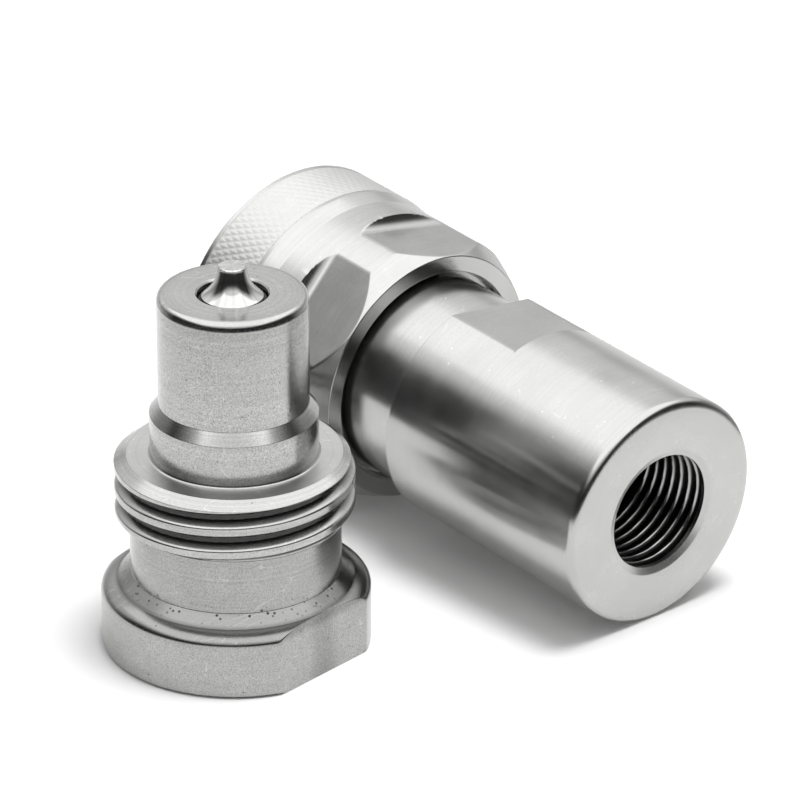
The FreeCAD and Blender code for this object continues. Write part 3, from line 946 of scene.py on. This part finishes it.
def dress():
    """Builds the visual pieces, hangs them on their bodies, hides the CAD nodes they replace and paints
    everything.
    """
    base_steel = steel("base_steel", UPRIGHT, grey=0.385, rough=0.2, grain=1.5, lines=0.4, scratched=0.9,
                       specks=-0.5, dirt_and_shade=(crease_shade, cone_shade, joint_dirt, port_shade))
    probe_steel = steel("probe_steel", UPRIGHT, grey=0.445, rough=0.18, dull_and_painted_light=(0.14, 0.0), grain=1.4,
                        lines=0.9, scratched=0.8, specks=-0.5,
                        dirt_and_shade=(flange_groove_shade, neck_darkening, joint_dirt))
    body_steel = steel("body_steel", LYING, grey=0.475, rough=0.22, dull_and_painted_light=(0.05, 0.05), lines=0.25,
                       scratched=0.25, specks=0.3, dirt_and_shade=(port_shade,))
    sleeve_steel = steel("sleeve_steel", LYING, grey=0.5, rough=0.24, dull_and_painted_light=(-0.08, -0.08),
                         scratched=0.15, specks=0.2)
    grip_steel = steel("grip_steel", LYING, grey=0.68, rough=0.6, lines=0.2)
    polished = steel("polished_steel", UPRIGHT, grey=0.56, rough=0.15, grain=0.1, streaks=0.6)
    wire = steel("spring_wire", UPRIGHT, grey=0.45, rough=0.3, grain=0.6, lines=0.2, scratched=0.2)
    rubber = plain("seal_rubber", (0.012, 0.012, 0.012), 0.55, 0.2)
    plastic = plain("backup_plastic", (0.8, 0.8, 0.78), 0.45, 0.04)
    pieces = [
        (nipple_base(), "housing", "nipple_adapter", base_steel),
        (nipple_probe(), "housing", "nipple_body", probe_steel),
        (poppet("nipple_nose", tip_top, UPRIGHT), "nipple_valve", "nipple_poppet", polished),
        (coupler_rear(), "housing", "port_adapter", body_steel),
        (coupler_front(), "housing", "socket_body", body_steel),
        (poppet("coupler_nose", seat_face, LYING), "coupler_valve", "coupler_poppet", polished),
        (sleeve_shell(), "sleeve", "coupling_sleeve", sleeve_steel),
        (sleeve_knurl(), "sleeve", None, grip_steel),
        (sleeve_thread(), "sleeve", None, sleeve_steel),
    ]
    slots = {row["node"]: row["material_slot"] for row in frame["record"]["subparts"]}
    for piece, body, node, material in pieces:
        paint(piece, material)
        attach(piece, body)
        if node:
            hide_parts(node)
    halves = [("nipple", tip_top, nipple_turns, UPRIGHT), ("coupler", seat_face, coupler_turns, LYING)]
    for half, face, turns, place in halves:
        coil = spring(half + "_coil", face, turns, place)
        paint(coil, wire)
        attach(coil, "housing")
        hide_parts(half + "_spring")
        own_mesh(coil)
    finishes = {
        "machined_steel": body_steel,
        "polished_steel": polished,
        "spring_steel": wire,
        "seal_rubber": rubber,
        "backup_plastic": plastic,
    }
    for node, slot in slots.items():
        paint(frame["nodes"][node], finishes[slot])


def camera():
    """Camera fitted to the photograph: a long lens that looks down on the pair."""
    tilt = math.radians(view_tilt)
    looking = image_away * math.cos(tilt) - Vector((0, 0, math.sin(tilt)))
    data = bpy.data.cameras.new("camera")
    data.sensor_width = 36.0
    data.lens = view_focal_pixels * data.sensor_width / view_width_pixels
    data.clip_start = 0.05
    eye = bpy.data.objects.new("camera", data)
    eye.location = (Vector(view_target) - looking * view_distance) * MM
    eye.rotation_euler = (math.pi / 2 - tilt, 0, view_turn)
    bpy.context.scene.collection.objects.link(eye)
    bpy.context.scene.camera = eye


def seen_directly(tree):
    """One for rays from the camera, from a mirror-like surface or through glass."""
    path = add(tree, "ShaderNodeLightPath").outputs
    total = maths(tree, "ADD", path["Is Camera Ray"], path["Is Glossy Ray"])
    return maths(tree, "MINIMUM", maths(tree, "ADD", total, path["Is Transmission Ray"]), 1.0)


def stage_piece(name, verts, faces):
    """Object of the set, which isn't part of the coupler."""
    mesh = bpy.data.meshes.new(name)
    mesh.from_pydata(verts, [], faces)
    piece = bpy.data.objects.new(name, mesh)
    bpy.context.scene.collection.objects.link(piece)
    return piece


def floor():
    """White table top that keeps the shadows."""
    half, drop = 3.0, -0.02 * MM
    white, glow_strength = 0.93, 0.06
    corners = [(-half, -half, drop), (half, -half, drop), (half, half, drop), (-half, half, drop)]
    piece = stage_piece("floor", corners, [(0, 1, 2, 3)])
    material, tree, shader, _ = new_material("white_table", UPRIGHT)
    shader.inputs["Base Color"].default_value = (white, white, white, 1)
    shader.inputs["Roughness"].default_value = 0.9
    shader.inputs["Specular IOR Level"].default_value = 0.0
    strength = product(tree, seen_directly(tree), glow_strength)
    glow = add(tree, "ShaderNodeEmission", {"Strength": strength})
    total = add(tree, "ShaderNodeAddShader", {0: shader.outputs[0], 1: glow.outputs[0]})
    tree.links.new(total.outputs[0], tree.nodes["Material Output"].inputs["Surface"])
    paint(piece, material)


def card_level(tree):
    """Brightness of the cards: dark near the table at the sides and in front, pale behind and above."""
    dark, pale, top = 0.04, 0.95, 1.05
    side_height, front_height, back_height, blend_height = 0.75, 0.5, 0.3, 0.4
    strip_height, strip_core, strip_rim, strip_level = 0.27, 0.08, 0.2, 0.7
    side_to_back, back_rise, front_rise = (0.1, 0.9), (0.15, 0.6), (-0.9, -0.4)
    coords = add(tree, "ShaderNodeTexCoord").outputs["Object"]
    x, y, rise = add(tree, "ShaderNodeSeparateXYZ", {0: coords}).outputs
    across = add(tree, "ShaderNodeCombineXYZ", {0: x, 1: y}).outputs[0]
    heading = vector_maths(tree, "NORMALIZE", {0: across})[0]
    behind = vector_maths(tree, "DOT_PRODUCT", {0: heading, 1: image_away})["Value"]
    low = band(tree, behind, *side_to_back, dark, pale)
    to_back = band(tree, behind, *back_rise, side_height, back_height)
    to_front = band(tree, behind, *front_rise, front_height, side_height)
    start = maths(tree, "MINIMUM", to_back, to_front)
    lift = band(tree, rise, start, maths(tree, "ADD", start, blend_height))
    level = maths(tree, "MULTIPLY_ADD", lift, maths(tree, "SUBTRACT", top, low), low)
    from_strip = distance(tree, rise, strip_height)
    return product(tree, level, band(tree, from_strip, strip_core, strip_rim, strip_level, 1.0))


def dark_cards():
    """Cards on and round the table that only the steel mirrors."""
    steps = 96
    inner, outer, table, top = 0.15, 1.2, 0.0005, 1.5
    rings = [(inner, table), (outer, table), (outer, top)]
    verts = []
    for radius, height in rings:
        for step in range(steps):
            angle = 2 * math.pi * step / steps
            verts.append((radius * math.cos(angle), radius * math.sin(angle), height))
    cards = stage_piece("dark_cards", verts, grid_faces(len(rings), steps, False))
    material = bpy.data.materials.new("dark_card")
    material.use_nodes = True
    tree = material.node_tree
    tree.nodes.remove(tree.nodes["Principled BSDF"])
    glow = add(tree, "ShaderNodeEmission", {"Strength": card_level(tree)})
    tree.links.new(glow.outputs[0], tree.nodes["Material Output"].inputs["Surface"])
    paint(cards, material)
    cards.visible_camera = False
    cards.visible_diffuse = False
    cards.visible_shadow = False


def area_lamp(name, size, radiance, aside):
    """Square lamp that hangs above the pair, moved aside, with a given side and radiance."""
    height = 0.9
    data = bpy.data.lights.new(name, "AREA")
    data.size = size
    data.energy = 4 * radiance * size**2
    lamp = bpy.data.objects.new(name, data)
    lamp.location = Vector(view_target) * MM + Vector((0, 0, height)) + aside
    lamp.rotation_euler = (0, 0, view_turn)
    lamp.visible_camera = False
    bpy.context.scene.collection.objects.link(lamp)
    return lamp


def studio():
    """Soft light: a pale room, a broad panel overhead and a smaller key lamp for the shadows."""
    room_light, room_seen = 0.1, 1.0
    world = bpy.data.worlds.new("studio")
    bpy.context.scene.world = world
    world.use_nodes = True
    tree = world.node_tree
    background = tree.nodes["Background"]
    background.inputs["Color"].default_value = (1, 1, 1, 1)
    level = band(tree, seen_directly(tree), 0.0, 1.0, room_light, room_seen)
    tree.links.new(level, background.inputs["Strength"])
    area_lamp("panel", size=1.65, radiance=0.65, aside=Vector((0, 0, 0)))
    key_aside = 0.16 * image_right - 0.1 * image_away
    key = area_lamp("key", size=0.35, radiance=13.5, aside=key_aside)
    key.visible_glossy = False


dress()
camera()
floor()
dark_cards()
studio()
bpy.context.scene.view_settings.view_transform = "Standard"
